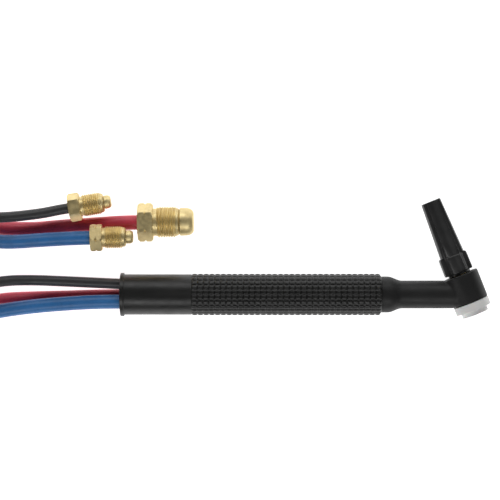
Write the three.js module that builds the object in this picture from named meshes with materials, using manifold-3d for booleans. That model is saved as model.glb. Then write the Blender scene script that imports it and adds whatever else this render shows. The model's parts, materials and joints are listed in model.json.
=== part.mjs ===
// A water-cooled TIG welding torch with its three hoses, lying on its side on a flat surface.
// Millimetres, +Z up. The origin is on the surface, under the centre of the torch's own bounding box.
// +X runs from the handle's rear end to the head, and the head's axis lies in the X-Y plane.

import * as THREE from "three";
import { mergeVertices } from "three/addons/utils/BufferGeometryUtils.js";
import Module from "manifold-3d";

const wasm = await Module();
wasm.setup();

// ---------- driving dimensions ----------

const GAP = 0.3; // between pieces that touch
const INCH = 25.4;

// Handle: a hollow moulded grip, open at both ends.
const HANDLE_LENGTH = 185;
const HANDLE_RADIUS = 14.35;
const GRIP_RADIUS = 14.75;
const RIM_RADIUS = 15.4;
const RIM_WIDTH = 2.6;
const PLAIN_LENGTH = 50;
const HANDLE_BORE = 12.7;

// Head moulding: a plug in the handle, a flare, the neck and the head's barrel.
const PLUG_LENGTH = 18;
const FLARE_RADIUS = 12.8;
const FLARE_STRAIGHT = 5.5;
const FLARE_TAPER = 9;
const NECK_RADIUS = 9.9;
const HEAD_X = 246.4; // from the handle's rear end to where the head's axis crosses the neck's
const HEAD_TILT = THREE.MathUtils.degToRad(21.8);
const HEAD_RADIUS = 12.85;
const HEAD_FRONT = -5.5; // along the head's axis, from the neck's axis
const HEAD_BACK = 15.1;
const HEAD_LIP = 1.2; // the moulding's thickness over the water jacket's back end

// Head core and water jacket.
const CORE_RADIUS = 7.2;
const SOCKET_RADIUS = 5;
const JACKET_RADIUS = 9.4;

// Cup gasket at the head's front.
const GASKET_RADIUS = 12.9;
const GASKET_FLANGE = 5.6;
const GASKET_STEP_RADIUS = 9.6;
const GASKET_STEP = 3.5;

// Back cap: a fluted taper over a collar, screwed into the head's back.
const CAP_LENGTH = 54.2;
const CAP_TIP_RADIUS = 7.4;
const CAP_ROOT_RADIUS = 9.1;
const CAP_COLLAR_RADIUS = 10.5;
const CAP_COLLAR_LENGTH = 13;
const CAP_NECK_RADIUS = 8.1;
const CAP_STANDOFF = 1.8;

// The torch's own bounding box puts the handle's rear end here.
const alongHead = (s, r) =>
  new THREE.Vector2(HEAD_X, 0)
    .addScaledVector(new THREE.Vector2(-Math.sin(HEAD_TILT), Math.cos(HEAD_TILT)), s)
    .addScaledVector(new THREE.Vector2(Math.cos(HEAD_TILT), Math.sin(HEAD_TILT)), r);
const GASKET_BACK = HEAD_FRONT - GAP;
const TORCH_RIGHT = alongHead(GASKET_BACK - GASKET_FLANGE, GASKET_RADIUS).x;
const TORCH_TOP = alongHead(HEAD_BACK + CAP_STANDOFF + CAP_LENGTH, CAP_TIP_RADIUS).y;
const TORCH_BOTTOM = alongHead(GASKET_BACK - GASKET_FLANGE - GASKET_STEP, -GASKET_STEP_RADIUS).y;
const REAR = new THREE.Vector3(-TORCH_RIGHT / 2, -(TORCH_TOP + TORCH_BOTTOM) / 2, RIM_RADIUS);

// Hanks: the hoses' spare length, wound into three long loops in a stack, held by three straps. Each has
// two layers of three turns side by side, with two straight runs along X and two round ends.
const HANK_END = new THREE.Vector2(-299, -4); // the centre of the round end nearer the torch
const HANK_RUN = 155;
const HANK_TURNS = 3;
const STRAP_THICKNESS = 1.6;
const STRAP_WIDTH = 18;
const STRAP_PLACE = 35; // of the two straps on the straight runs, from the end nearer the torch
const HANK_BASE = STRAP_THICKNESS + GAP;

// How finely the hoses are drawn.
const HOSE_SIDES = 10;
const OUT_STEPS = 44;
const BACK_STEPS = 34;

// Fittings: male swivel nuts on hose nipples.
const SMALL_NUT = {
  flats: (11 / 16) * INCH,
  hexLength: 8.2,
  threadRadius: (5 / 16) * INCH,
  pitch: INCH / 18,
  threadStart: 10,
  threadLength: 12.7,
  length: 25,
  stemRadius: 3.4,
  noseRadius: 4.75,
  noseLength: 4.8,
};
const LARGE_NUT = {
  flats: (15 / 16) * INCH,
  hexLength: 10.8,
  threadRadius: (7 / 16) * INCH,
  pitch: INCH / 14,
  threadStart: 13.2,
  threadLength: 14.5,
  length: 29.6,
  stemRadius: 4.9,
  noseRadius: 9.9,
  noseLength: 9.9,
};

// One line for each hose: its size, its places in the handle, its hank, its routes and its fitting.
// Places are from the handle's rear end; routes are in the part's own frame.
const v3 = (x, y, z) => new THREE.Vector3(x, y, z);
const LINES = [
  {
    name: "power",
    colour: 0x9c2036,
    radius: 5.25,
    tubeRadius: 3.5,
    neckPlace: [-4, -3.4],
    tailPlace: v3(96, -0.6, -6.05),
    exitPlace: v3(0, -1.6, -6.5),
    hank: { outer: 54.71, pitch: 10.55 },
    out: [
      v3(-150, -27.6, 8), v3(-172, -28.3, 6.4), v3(-194, -28.9, 5.6), v3(-216, -30.1, 5.4),
      v3(-230, -33.2, 5.5), v3(-244, -38.5, 6), v3(-258, -45.4, 6.6), v3(-272, -52.4, 7),
      v3(-286, -57.2, 7.15),
    ],
    back: [
      v3(-286, 49.5, 17.65), v3(-272, 45.4, 17.6), v3(-258, 38.4, 16.6), v3(-244, 30.4, 13.6),
      v3(-230, 24.7, 9.8), v3(-216, 21.6, 6.8), v3(-196, 20.8, 5.4), v3(-176, 22.3, 5.3),
      v3(-158, 23.6, 5.9), v3(-146, 24.4, 8), v3(-136, 25, 10.4),
    ],
    fitting: { nut: LARGE_NUT, place: v3(-119.3, 25.5, 11.95), slope: 0.9, spin: 0, notched: true },
  },
  {
    name: "water",
    colour: 0x2f6fae,
    radius: 5,
    tubeRadius: 2.4,
    neckPlace: [-4, 4],
    tailPlace: v3(108, -4.3, 4.55),
    exitPlace: v3(0, -5, 5.4),
    hank: { outer: 54.79, pitch: 10.1 },
    out: [
      v3(-150, -31, 19.6), v3(-172, -32.3, 18.3), v3(-194, -34.2, 19), v3(-216, -37.2, 22),
      v3(-230, -39.9, 25), v3(-244, -43.4, 27.6), v3(-258, -48, 28.4), v3(-272, -53, 28.3),
      v3(-286, -57.3, 28.2),
    ],
    back: [
      v3(-286, 49.3, 38.2), v3(-274, 45.6, 38.1), v3(-263, 38.6, 37.7), v3(-252, 29.4, 36.3),
      v3(-241, 20.4, 31.5), v3(-229, 14.2, 24.5), v3(-216, 11.8, 18.3), v3(-203, 11.9, 16),
      v3(-190, 12.8, 15.6), v3(-178, 13.5, 16.9), v3(-168, 14, 19.3),
    ],
    fitting: { nut: SMALL_NUT, place: v3(-152.2, 14.5, 20.8), slope: 1.4, spin: -19, notched: true },
  },
  {
    name: "gas",
    colour: 0x2b2b2d,
    radius: 3.75,
    tubeRadius: 2.4,
    neckPlace: [5, 0.5],
    tailPlace: v3(118, 6.8, 1.4),
    exitPlace: v3(0, 7.6, 1.4),
    hank: { outer: 51.65, pitch: 7.6 },
    out: [
      v3(-150, -17.3, 15.4), v3(-172, -16.3, 15.4), v3(-192, -15.5, 19), v3(-209, -15.7, 27.6),
      v3(-222, -17.8, 37), v3(-234, -22.5, 44.8), v3(-246, -30.4, 48.4), v3(-259, -39.8, 48.2),
      v3(-272, -48.2, 47.5), v3(-286, -53.9, 47.25),
    ],
    back: [
      v3(-286, 46.2, 54.75), v3(-272, 42.1, 54.6), v3(-258, 36.6, 52.7), v3(-244, 31.8, 46.8),
      v3(-229, 29, 36.5), v3(-214, 28.9, 26.3), v3(-200, 30.2, 20), v3(-186, 32.2, 16.4),
    ],
    fitting: { nut: SMALL_NUT, place: v3(-168, 35.6, 14.8), slope: 9.5, spin: 0, notched: false },
  },
];

// ---------- helpers ----------

const MATERIALS = {
  handlePlastic: [0x232321, 0, 0.55],
  headRubber: [0x333333, 0, 0.6],
  brass: [0xb3923f, 0.9, 0.35],
  copper: [0xb87346, 0.9, 0.35],
  gasketWhite: [0xdcdcda, 0, 0.5],
  capPhenolic: [0x303030, 0, 0.4],
  sealRubber: [0x1c1c1c, 0, 0.8],
  strapFabric: [0x1d1d1f, 0, 0.9],
};

const material = (name, colour) => {
  const [value, metalness, roughness] = MATERIALS[name] ?? [colour, 0, 0.5];
  const made = new THREE.MeshStandardMaterial({ color: value, metalness, roughness });
  made.name = name;
  return made;
};

// A body turned about X, from [distance along X, radius] pairs.
const turned = (profile, segments = 24) => {
  const points = profile.map(([along, radius]) => new THREE.Vector2(radius, along));
  return new THREE.LatheGeometry(points, segments).rotateZ(-Math.PI / 2);
};

// A tube wall turned about X, from its outside profile and its bore profile.
const turnedHollow = (outside, bore, segments = 24) =>
  turned([...outside, ...bore.slice().reverse(), outside[0]], segments);

const roundRod = (from, to, radius, segments = 16) => {
  const length = from.distanceTo(to);
  const rod = turned([[0, 0], [0, radius], [length, radius], [length, 0]], segments);
  const turn = new THREE.Quaternion().setFromUnitVectors(v3(1, 0, 0), to.clone().sub(from).normalize());
  return rod.applyQuaternion(turn).translate(from.x, from.y, from.z);
};

const roundTube = (points, radius, steps, sides) => {
  const section = new THREE.Shape();
  section.setFromPoints(
    Array.from({ length: sides }, (_, i) => {
      const angle = (2 * Math.PI * i) / sides;
      return new THREE.Vector2(radius * Math.cos(angle), radius * Math.sin(angle));
    }),
  );
  const path = new THREE.CatmullRomCurve3(points, false, "centripetal");
  return new THREE.ExtrudeGeometry(section, { steps, extrudePath: path, bevelEnabled: false });
};

// A closed solid from a three.js geometry, with its triangles facing outwards.
const solid = (geometry) => {
  const bare = new THREE.BufferGeometry();
  bare.setAttribute("position", geometry.getAttribute("position"));
  if (geometry.index) bare.setIndex(geometry.index);
  const merged = mergeVertices(bare, 1e-4);
  const position = merged.getAttribute("position").array;
  const index = merged.index.array;
  const faces = [];
  let volume = 0;
  const corner = [v3(0, 0, 0), v3(0, 0, 0), v3(0, 0, 0)];
  for (let i = 0; i < index.length; i += 3) {
    const [a, b, c] = [index[i], index[i + 1], index[i + 2]];
    if (a === b || b === c || a === c) continue;
    [a, b, c].forEach((vertex, k) => corner[k].fromArray(position, 3 * vertex));
    volume += corner[0].dot(corner[1].clone().cross(corner[2]));
    faces.push(a, b, c);
  }
  if (volume < 0) {
    for (let i = 0; i < faces.length; i += 3) [faces[i], faces[i + 1]] = [faces[i + 1], faces[i]];
  }
  const mesh = new wasm.Mesh({
    numProp: 3,
    vertProperties: new Float32Array(position),
    triVerts: new Uint32Array(faces),
  });
  return new wasm.Manifold(mesh);
};

const torch = new THREE.Group();
torch.name = "tig_torch";

const addPiece = (name, body, finish) => {
  const mesh = body.getMesh();
  const geometry = new THREE.BufferGeometry();
  geometry.setAttribute("position", new THREE.BufferAttribute(new Float32Array(mesh.vertProperties), 3));
  geometry.setIndex(new THREE.BufferAttribute(new Uint32Array(mesh.triVerts), 1));
  geometry.computeVertexNormals();
  const piece = new THREE.Mesh(geometry, finish);
  piece.name = name;
  torch.add(piece);
};

// The handle's frame: from its rear end, along its axis.
const inHandle = (x, y, z) => v3(x, y, z).add(REAR);
const toHandle = new THREE.Matrix4().makeTranslation(REAR.x, REAR.y, REAR.z);

// The head's frame: from where its axis crosses the neck's, along its axis towards the back cap.
const toHead = new THREE.Matrix4()
  .makeTranslation(REAR.x + HEAD_X, REAR.y, REAR.z)
  .multiply(new THREE.Matrix4().makeRotationZ(Math.PI / 2 + HEAD_TILT));

// ---------- handle ----------

const shiftBack = (profile, distance) => profile.map(([along, radius]) => [along + distance, radius]);

addPiece(
  "handle_grip",
  solid(
    turnedHollow(
      [
        [0, RIM_RADIUS - 0.8], [0.6, RIM_RADIUS], [RIM_WIDTH, RIM_RADIUS], [RIM_WIDTH + 0.6, HANDLE_RADIUS],
        [PLAIN_LENGTH, HANDLE_RADIUS], [PLAIN_LENGTH + 1.5, GRIP_RADIUS], [HANDLE_LENGTH - 1.6, GRIP_RADIUS],
        [HANDLE_LENGTH - 0.5, GRIP_RADIUS - 0.5], [HANDLE_LENGTH, GRIP_RADIUS - 1.3],
      ],
      [[0, HANDLE_BORE], [HANDLE_LENGTH, HANDLE_BORE]],
      36,
    ).applyMatrix4(toHandle),
  ),
  material("handlePlastic"),
);

// ---------- head and neck ----------

const NECK_START = HANDLE_LENGTH + GAP;
const TUBE_FRONT = HEAD_X - 13.6;

const lineTube = (line, extra) => {
  const [y, z] = line.neckPlace;
  const tail = line.tailPlace;
  const points = [
    inHandle(TUBE_FRONT + (extra ? 6 : 0), y, z), inHandle(210, y, z), inHandle(188, y, z),
    inHandle(HANDLE_LENGTH - PLUG_LENGTH - 2, y, z),
    inHandle(tail.x + 16, tail.y, tail.z), inHandle(tail.x + 8, tail.y, tail.z),
    inHandle(tail.x, tail.y, tail.z),
  ];
  return solid(roundTube(points, line.tubeRadius + extra, 16, 8));
};

const neckProfile = [
  [HANDLE_LENGTH - PLUG_LENGTH, 0],
  [HANDLE_LENGTH - PLUG_LENGTH, HANDLE_BORE - GAP - 0.6],
  [HANDLE_LENGTH - PLUG_LENGTH + 0.8, HANDLE_BORE - GAP],
  [HANDLE_LENGTH + GAP, HANDLE_BORE - GAP],
  [HANDLE_LENGTH + GAP, FLARE_RADIUS],
  [HANDLE_LENGTH + FLARE_STRAIGHT, FLARE_RADIUS],
];
const TAPER_STEPS = 6;
for (let i = 1; i <= TAPER_STEPS; i += 1) {
  const part = i / TAPER_STEPS;
  const ease = part * part * (3 - 2 * part);
  neckProfile.push([
    HANDLE_LENGTH + FLARE_STRAIGHT + FLARE_TAPER * part,
    FLARE_RADIUS + (NECK_RADIUS - FLARE_RADIUS) * ease,
  ]);
}
neckProfile.push([HEAD_X, NECK_RADIUS], [HEAD_X, 0]);

const barrel = turned(
  [
    [HEAD_FRONT, 0], [HEAD_FRONT, HEAD_RADIUS - 0.4], [HEAD_FRONT + 0.4, HEAD_RADIUS],
    [HEAD_BACK - 0.7, HEAD_RADIUS], [HEAD_BACK, HEAD_RADIUS - 0.7], [HEAD_BACK, 0],
  ],
  32,
).applyMatrix4(toHead);
// The barrel is short in front of the neck, so the neck is cut off level with the barrel's front face.
const BORE_REACH = 40;
const cutStart = HEAD_FRONT - BORE_REACH;
const frontCut = turned(
  [[cutStart, 0], [cutStart, BORE_REACH], [HEAD_FRONT, BORE_REACH], [HEAD_FRONT, 0]],
  24,
).applyMatrix4(toHead);
const jacketBore = turned(
  [
    [HEAD_FRONT - 1, 0], [HEAD_FRONT - 1, JACKET_RADIUS + GAP],
    [HEAD_BACK - HEAD_LIP, JACKET_RADIUS + GAP], [HEAD_BACK - HEAD_LIP, CORE_RADIUS + GAP],
    [HEAD_BACK + 1, CORE_RADIUS + GAP], [HEAD_BACK + 1, 0],
  ],
  24,
).applyMatrix4(toHead);

let moulding = solid(turned(neckProfile, 28).applyMatrix4(toHandle));
moulding = moulding.subtract(solid(frontCut)).add(solid(barrel)).subtract(solid(jacketBore));
for (const line of LINES) moulding = moulding.subtract(lineTube(line, GAP));
addPiece("head_moulding", moulding, material("headRubber"));

const CORE_FLANGE = 1.5;
const SEAL_POCKET_RADIUS = 6.6;
const SEAL_POCKET_DEPTH = 2.4;
addPiece(
  "head_core",
  solid(
    turnedHollow(
      [
        [HEAD_FRONT, JACKET_RADIUS], [HEAD_FRONT + CORE_FLANGE, JACKET_RADIUS],
        [HEAD_FRONT + CORE_FLANGE, CORE_RADIUS], [HEAD_BACK, CORE_RADIUS],
      ],
      [
        [HEAD_FRONT, SOCKET_RADIUS], [HEAD_BACK - SEAL_POCKET_DEPTH, SOCKET_RADIUS],
        [HEAD_BACK - SEAL_POCKET_DEPTH, SEAL_POCKET_RADIUS], [HEAD_BACK, SEAL_POCKET_RADIUS],
      ],
    ).applyMatrix4(toHead),
  ),
  material("brass"),
);
const jacketFront = HEAD_FRONT + CORE_FLANGE + GAP;
const jacketBack = HEAD_BACK - HEAD_LIP - GAP;
addPiece(
  "water_jacket",
  solid(
    turnedHollow(
      [[jacketFront, JACKET_RADIUS], [jacketBack, JACKET_RADIUS]],
      [[jacketFront, CORE_RADIUS + GAP], [jacketBack, CORE_RADIUS + GAP]],
    ).applyMatrix4(toHead),
  ),
  material("brass"),
);
addPiece(
  "cup_gasket",
  solid(
    turnedHollow(
      [
        [GASKET_BACK - GASKET_FLANGE - GASKET_STEP, GASKET_STEP_RADIUS - 0.4],
        [GASKET_BACK - GASKET_FLANGE - GASKET_STEP + 0.4, GASKET_STEP_RADIUS],
        [GASKET_BACK - GASKET_FLANGE, GASKET_STEP_RADIUS], [GASKET_BACK - GASKET_FLANGE, GASKET_RADIUS - 0.4],
        [GASKET_BACK - GASKET_FLANGE + 0.4, GASKET_RADIUS], [GASKET_BACK - 0.4, GASKET_RADIUS],
        [GASKET_BACK, GASKET_RADIUS - 0.4],
      ],
      [[GASKET_BACK - GASKET_FLANGE - GASKET_STEP, SOCKET_RADIUS + 0.2], [GASKET_BACK, SOCKET_RADIUS + 0.2]],
      32,
    ).applyMatrix4(toHead),
  ),
  material("gasketWhite"),
);

// ---------- back cap ----------

const INSERT_RADIUS = 4.6;
const INSERT_BORE = 3;
const INSERT_REACH = 9;
const INSERT_SEAT = 8;
const CAP_BOTTOM = HEAD_BACK + GAP;
const CAP_COLLAR_START = HEAD_BACK + CAP_STANDOFF;
const CAP_TIP = CAP_COLLAR_START + CAP_LENGTH;
const CAP_BORE = 3.6;
const CAP_TIP_WALL = 3;
addPiece(
  "back_cap",
  solid(
    turned(
      [
        [CAP_BOTTOM, INSERT_RADIUS + GAP], [CAP_BOTTOM, CAP_NECK_RADIUS], [CAP_COLLAR_START, CAP_NECK_RADIUS],
        [CAP_COLLAR_START, CAP_COLLAR_RADIUS - 0.3], [CAP_COLLAR_START + 0.5, CAP_COLLAR_RADIUS],
        [CAP_COLLAR_START + CAP_COLLAR_LENGTH - 0.7, CAP_COLLAR_RADIUS - 0.2],
        [CAP_COLLAR_START + CAP_COLLAR_LENGTH, CAP_COLLAR_RADIUS - 0.9],
        [CAP_COLLAR_START + CAP_COLLAR_LENGTH + 0.6, CAP_ROOT_RADIUS], [CAP_TIP - 0.5, CAP_TIP_RADIUS],
        [CAP_TIP, CAP_TIP_RADIUS - 0.5], [CAP_TIP, 0], [CAP_TIP - CAP_TIP_WALL, 0],
        [CAP_TIP - CAP_TIP_WALL - 1, CAP_BORE], [CAP_BOTTOM + INSERT_SEAT + GAP, CAP_BORE],
        [CAP_BOTTOM + INSERT_SEAT + GAP, INSERT_RADIUS + GAP], [CAP_BOTTOM, INSERT_RADIUS + GAP],
      ],
      28,
    ).applyMatrix4(toHead),
  ),
  material("capPhenolic"),
);
addPiece(
  "cap_insert",
  solid(
    turnedHollow(
      [[CAP_BOTTOM - INSERT_REACH, INSERT_RADIUS], [CAP_BOTTOM + INSERT_SEAT, INSERT_RADIUS]],
      [[CAP_BOTTOM - INSERT_REACH, INSERT_BORE], [CAP_BOTTOM + INSERT_SEAT, INSERT_BORE]],
      24,
    ).applyMatrix4(toHead),
  ),
  material("brass"),
);
const SEAL_SECTION = 0.65;
const SEAL_RADIUS = INSERT_RADIUS + GAP + SEAL_SECTION + 0.05;
addPiece(
  "cap_o_ring",
  solid(
    new THREE.TorusGeometry(SEAL_RADIUS, SEAL_SECTION, 6, 20)
      .rotateY(Math.PI / 2)
      .translate(HEAD_BACK - 1.2, 0, 0)
      .applyMatrix4(toHead),
  ),
  material("sealRubber"),
);

// ---------- hanks ----------

const hankInner = (line) => line.hank.outer - (HANK_TURNS - 1) * line.hank.pitch;
let hankFloor = HANK_BASE;
for (const line of LINES) {
  line.hank.floor = hankFloor;
  hankFloor += 4 * line.radius + GAP;
}
const STACK_TOP = hankFloor - GAP;

// A long loop with round ends, as a path at a distance from the hank's middle line.
const longLoop = (path, reach) => {
  path.absarc(0, 0, reach, -Math.PI / 2, Math.PI / 2, false);
  path.absarc(-HANK_RUN, 0, reach, Math.PI / 2, 1.5 * Math.PI, false);
  path.closePath();
  return path;
};

// A hank is two layers of hose; here it is the room that they fill, and `room` makes it larger all round.
const hankSolid = (line, room) => {
  const shape = longLoop(new THREE.Shape(), line.hank.outer + line.radius + room);
  shape.holes.push(longLoop(new THREE.Path(), hankInner(line) - line.radius - room));
  const height = 4 * line.radius + 2 * room;
  const block = new THREE.ExtrudeGeometry(shape, { depth: height, bevelEnabled: false, curveSegments: 18 });
  return block.translate(HANK_END.x, HANK_END.y, line.hank.floor - room);
};

// A place on a hank's outermost straight run, on one side of its middle line and some way along from the end
// nearer the torch. The hose joins the lower layer on the -Y side and leaves the upper one on the +Y side.
const besideHank = (line, side, layer, along) =>
  v3(
    HANK_END.x - along,
    HANK_END.y + side * line.hank.outer,
    line.hank.floor + line.radius * (1 + 2 * layer),
  );

// ---------- hoses, tubes and fittings ----------

const BARB_LENGTH = 12;
const COLLAR_LENGTH = 4;
const SOCKET_DEPTH = 3;
const FERRULE_LENGTH = 10;
const FERRULE_WALL = 0.6;
const NOTCH = 0.9;

const fittingMatrix = ({ place, slope, spin }) =>
  new THREE.Matrix4()
    .makeTranslation(place.x, place.y, place.z)
    .multiply(new THREE.Matrix4().makeRotationZ(THREE.MathUtils.degToRad(slope)))
    .multiply(new THREE.Matrix4().makeRotationX(THREE.MathUtils.degToRad(spin)));

const hexBar = (flats, length) => {
  const bar = new THREE.CylinderGeometry(flats / Math.sqrt(3), flats / Math.sqrt(3), length, 6);
  return bar.rotateZ(-Math.PI / 2).rotateX(Math.PI / 2).translate(length / 2, 0, 0);
};

for (const line of LINES) {
  const { name, radius, fitting, tailPlace: tail } = line;
  const { nut } = fitting;
  const barb = 0.56 * radius;
  const hoseBore = barb + GAP;
  const mouth = radius + 0.4;
  const stem = nut.stemRadius;
  const hoseDepth = nut.hexLength + 4;

  // The copper tube through the neck, and its barbed brass end in the handle.
  addPiece(`${name}_tube`, lineTube(line, 0), material("copper"));
  const collar = line.tubeRadius + GAP + 0.8;
  const tailStart = tail.x + SOCKET_DEPTH - COLLAR_LENGTH - BARB_LENGTH;
  addPiece(
    `${name}_tail`,
    solid(
      turned(
        [
          [tailStart, 0.6 * barb], [tailStart, barb - 0.4], [tailStart + 1.6, barb],
          [tailStart + BARB_LENGTH, barb], [tailStart + BARB_LENGTH, collar],
          [tailStart + BARB_LENGTH + COLLAR_LENGTH, collar],
          [tailStart + BARB_LENGTH + COLLAR_LENGTH, line.tubeRadius + GAP],
          [tailStart + BARB_LENGTH + COLLAR_LENGTH - SOCKET_DEPTH - GAP, line.tubeRadius + GAP],
          [tailStart + BARB_LENGTH + COLLAR_LENGTH - SOCKET_DEPTH - GAP, 0.6 * barb], [tailStart, 0.6 * barb],
        ],
        14,
      )
        .translate(0, tail.y, tail.z)
        .applyMatrix4(toHandle),
    ),
    material("brass"),
  );

  // The crimped ferrule round the hose end in the handle.
  const ferruleStart = tailStart + 0.5;
  addPiece(
    `${name}_ferrule`,
    solid(
      turnedHollow(
        [
          [ferruleStart, radius + GAP + FERRULE_WALL],
          [ferruleStart + FERRULE_LENGTH, radius + GAP + FERRULE_WALL],
        ],
        [[ferruleStart, radius + GAP], [ferruleStart + FERRULE_LENGTH, radius + GAP]],
        20,
      )
        .translate(0, tail.y, tail.z)
        .applyMatrix4(toHandle),
    ),
    material("brass"),
  );

  // The nipple: a rounded nose in front of the nut, a stem through it and a barb in the hose.
  const toFitting = fittingMatrix(fitting);
  const noseEnd = nut.length + GAP + nut.noseLength;
  const noseTip = 0.62 * nut.noseRadius;
  const passage = 0.6 * barb;
  addPiece(
    `${name}_nipple`,
    solid(
      turned(
        [
          [hoseDepth - BARB_LENGTH, passage], [hoseDepth - BARB_LENGTH, barb - 0.4],
          [hoseDepth - BARB_LENGTH + 1.6, barb], [hoseDepth + GAP, barb], [hoseDepth + GAP, stem],
          [nut.length + GAP, stem], [nut.length + GAP, nut.noseRadius],
          [nut.length + GAP + 0.45 * nut.noseLength, nut.noseRadius],
          [nut.length + GAP + 0.8 * nut.noseLength, 0.88 * nut.noseRadius],
          [noseEnd, noseTip], [noseEnd, passage],
          [hoseDepth - BARB_LENGTH, passage],
        ],
        18,
      ).applyMatrix4(toFitting),
    ),
    material("brass"),
  );

  // The swivel nut: hexagon, relief and thread, with the V-groove that marks a left-hand thread.
  const across = nut.flats / Math.sqrt(3);
  const reliefRadius = nut.threadRadius - 0.75 * nut.pitch;
  const threadEnd = nut.threadStart + nut.threadLength;
  const hexChamfer = solid(
    turned(
      [
        [0, 0], [0, 0.94 * across], [0.1 * across, across + 0.01],
        [nut.hexLength - 0.1 * across, across + 0.01],
        [nut.hexLength, 0.94 * across], [nut.hexLength, 0],
      ],
      24,
    ).applyMatrix4(toFitting),
  );
  let nutBody = solid(hexBar(nut.flats, nut.hexLength).applyMatrix4(toFitting)).intersect(hexChamfer);
  if (fitting.notched) {
    const middle = nut.hexLength / 2;
    const groove = turnedHollow(
      [[middle - NOTCH, across + 1], [middle + NOTCH, across + 1]],
      [[middle - NOTCH, across], [middle, across - NOTCH], [middle + NOTCH, across]],
      24,
    );
    nutBody = nutBody.subtract(solid(groove.applyMatrix4(toFitting)));
  }
  const shank = turned(
    [
      [1, 0], [1, reliefRadius], [nut.threadStart, reliefRadius], [nut.threadStart + 0.6, nut.threadRadius],
      [threadEnd - 0.6, nut.threadRadius], [threadEnd, reliefRadius], [nut.length - 1, reliefRadius - 0.2],
      [nut.length, reliefRadius - 0.9], [nut.length, 0],
    ],
    24,
  );
  const nutBore = turned(
    [
      [-1, 0], [-1, mouth + 1.4], [0.4, mouth], [hoseDepth + GAP, mouth], [hoseDepth + GAP, stem + GAP],
      [nut.length + 1, stem + GAP], [nut.length + 1, 0],
    ],
    20,
  );
  nutBody = nutBody.add(solid(shank.applyMatrix4(toFitting)));
  nutBody = nutBody.subtract(solid(nutBore.applyMatrix4(toFitting)));
  addPiece(`${name}_nut`, nutBody, material("brass"));

  // The hose from the torch to its hank, the hank, and the hose from there to its nut.
  const exit = line.exitPlace;
  const finish = material(`${name}Hose`, line.colour);
  const inFitting = (along) => v3(along, 0, 0).applyMatrix4(toFitting);
  const outRoute = [
    inHandle(tailStart + BARB_LENGTH - GAP, tail.y, tail.z), inHandle(tailStart, tail.y, tail.z),
    inHandle(tailStart - 10, exit.y, exit.z), inHandle(20, exit.y, exit.z), inHandle(0, exit.y, exit.z),
    ...line.out,
    besideHank(line, -1, 0, 0), besideHank(line, -1, 0, 10), besideHank(line, -1, 0, 20),
  ];
  const backRoute = [
    besideHank(line, 1, 1, 20), besideHank(line, 1, 1, 10), besideHank(line, 1, 1, 0), ...line.back,
    inFitting(-7), inFitting(-1), inFitting(4), inFitting(hoseDepth),
  ];
  const hankRoom = solid(hankSolid(line, GAP));
  const outSocket = roundRod(
    inHandle(tailStart - GAP - 1, tail.y, tail.z),
    inHandle(tailStart + BARB_LENGTH + 1, tail.y, tail.z),
    hoseBore,
  );
  const backSocket = roundRod(inFitting(hoseDepth - BARB_LENGTH - 1), inFitting(hoseDepth + 1), hoseBore);
  const outHose = solid(roundTube(outRoute, radius, OUT_STEPS, HOSE_SIDES));
  const backHose = solid(roundTube(backRoute, radius, BACK_STEPS, HOSE_SIDES));
  addPiece(`${name}_hose_out`, outHose.subtract(hankRoom).subtract(solid(outSocket)), finish);
  addPiece(`${name}_hose_back`, backHose.subtract(hankRoom).subtract(solid(backSocket)), finish);
  addPiece(`${name}_coil`, solid(hankSolid(line, 0)), finish);
}

// ---------- straps round the stack of hanks ----------

// Moves each edge of a convex outline outwards.
const grown = (outline, distance) =>
  outline.map((point, i) => {
    const before = outline.at(i - 1);
    const after = outline[(i + 1) % outline.length];
    const edgeIn = point.clone().sub(before).normalize();
    const edgeOut = after.clone().sub(point).normalize();
    const normalIn = new THREE.Vector2(edgeIn.y, -edgeIn.x);
    const normalOut = new THREE.Vector2(edgeOut.y, -edgeOut.x);
    const middle = normalIn.clone().add(normalOut).normalize();
    return point.clone().addScaledVector(middle, distance / middle.dot(normalIn));
  });

const [powerLine, , gasLine] = LINES;
// A strap is flat across its width, so its inner leg stands off the curved inside of the hanks.
const innerEdge = Math.min(...LINES.map((line) => hankInner(line) - line.radius));
const innerWall = Math.sqrt(innerEdge ** 2 - STRAP_WIDTH ** 2 / 4);
const outerWall = Math.max(...LINES.map((line) => line.hank.outer + line.radius));
const topWall = gasLine.hank.outer + gasLine.radius;
const stackOutline = [
  new THREE.Vector2(innerWall, powerLine.hank.floor),
  new THREE.Vector2(outerWall, powerLine.hank.floor),
  new THREE.Vector2(outerWall, gasLine.hank.floor - GAP),
  new THREE.Vector2(topWall, STACK_TOP),
  new THREE.Vector2(innerWall, STACK_TOP),
];
const STRAPS = [
  { centre: -STRAP_PLACE, degrees: 90 },
  { centre: -STRAP_PLACE, degrees: -90 },
  { centre: -HANK_RUN, degrees: 180 },
];
STRAPS.forEach(({ centre, degrees }, i) => {
  const shape = new THREE.Shape(grown(stackOutline, GAP + STRAP_THICKNESS));
  shape.holes.push(new THREE.Path(grown(stackOutline, GAP)));
  const strap = new THREE.ExtrudeGeometry(shape, { depth: STRAP_WIDTH, bevelEnabled: false });
  strap.translate(0, 0, -STRAP_WIDTH / 2).rotateX(Math.PI / 2).rotateZ(THREE.MathUtils.degToRad(degrees));
  strap.translate(HANK_END.x + centre, HANK_END.y, 0);
  addPiece(`coil_strap_${i + 1}`, solid(strap), material("strapFabric"));
});

export default torch;
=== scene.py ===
"""A water-cooled TIG welding torch with its three hoses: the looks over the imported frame."""

import json
import math

import bmesh
import bpy
from mathutils import Matrix, Vector


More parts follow.
